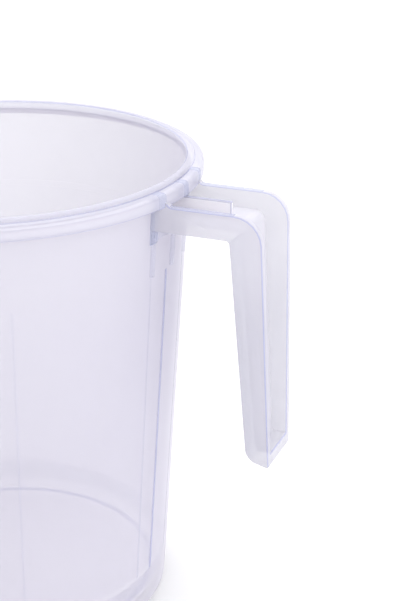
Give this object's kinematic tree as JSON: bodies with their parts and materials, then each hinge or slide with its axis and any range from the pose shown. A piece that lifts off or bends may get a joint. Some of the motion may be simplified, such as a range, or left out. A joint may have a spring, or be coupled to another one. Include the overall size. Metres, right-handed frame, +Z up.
{
  "type": "handled jug",
  "caption": "Tapered translucent feeding and measuring jug with a rolled rim, a pouring lip and a hook handle open at its lower end.",
  "frame": {"origin": "centre of the foot ring, on the plane that the jug stands on", "axes": "+Z up along the bowl's axis, +X towards the handle, -X towards the pouring lip"},
  "size_m": [0.1656, 0.125, 0.138],
  "materials": {
    "bowl": "translucent natural polypropylene, satin gloss",
    "rim": "translucent natural polypropylene, satin gloss",
    "handle": "translucent natural polypropylene, satin gloss"
  },
  "bodies": {
    "root": {"foot_ring": "bowl", "floor_disc": "bowl", "heel_fillet": "bowl", "heel_wall": "bowl", "heel_bead": "bowl", "lower_wall": "bowl", "shoulder_bead": "bowl", "upper_wall": "bowl", "wall_lines": "bowl", "lip": "rim", "rim_ledge": "rim", "rim_skirt": "rim", "rim_ribs": "rim", "pouring_lip": "rim", "pouring_lip_flange": "rim", "handle_left_flank": "handle", "handle_right_flank": "handle", "handle_arm_web": "handle", "handle_grip_web": "handle", "handle_tip": "handle", "handle_centre_rib": "handle", "root_ribs": "handle"}
  },
  "joints": []
}
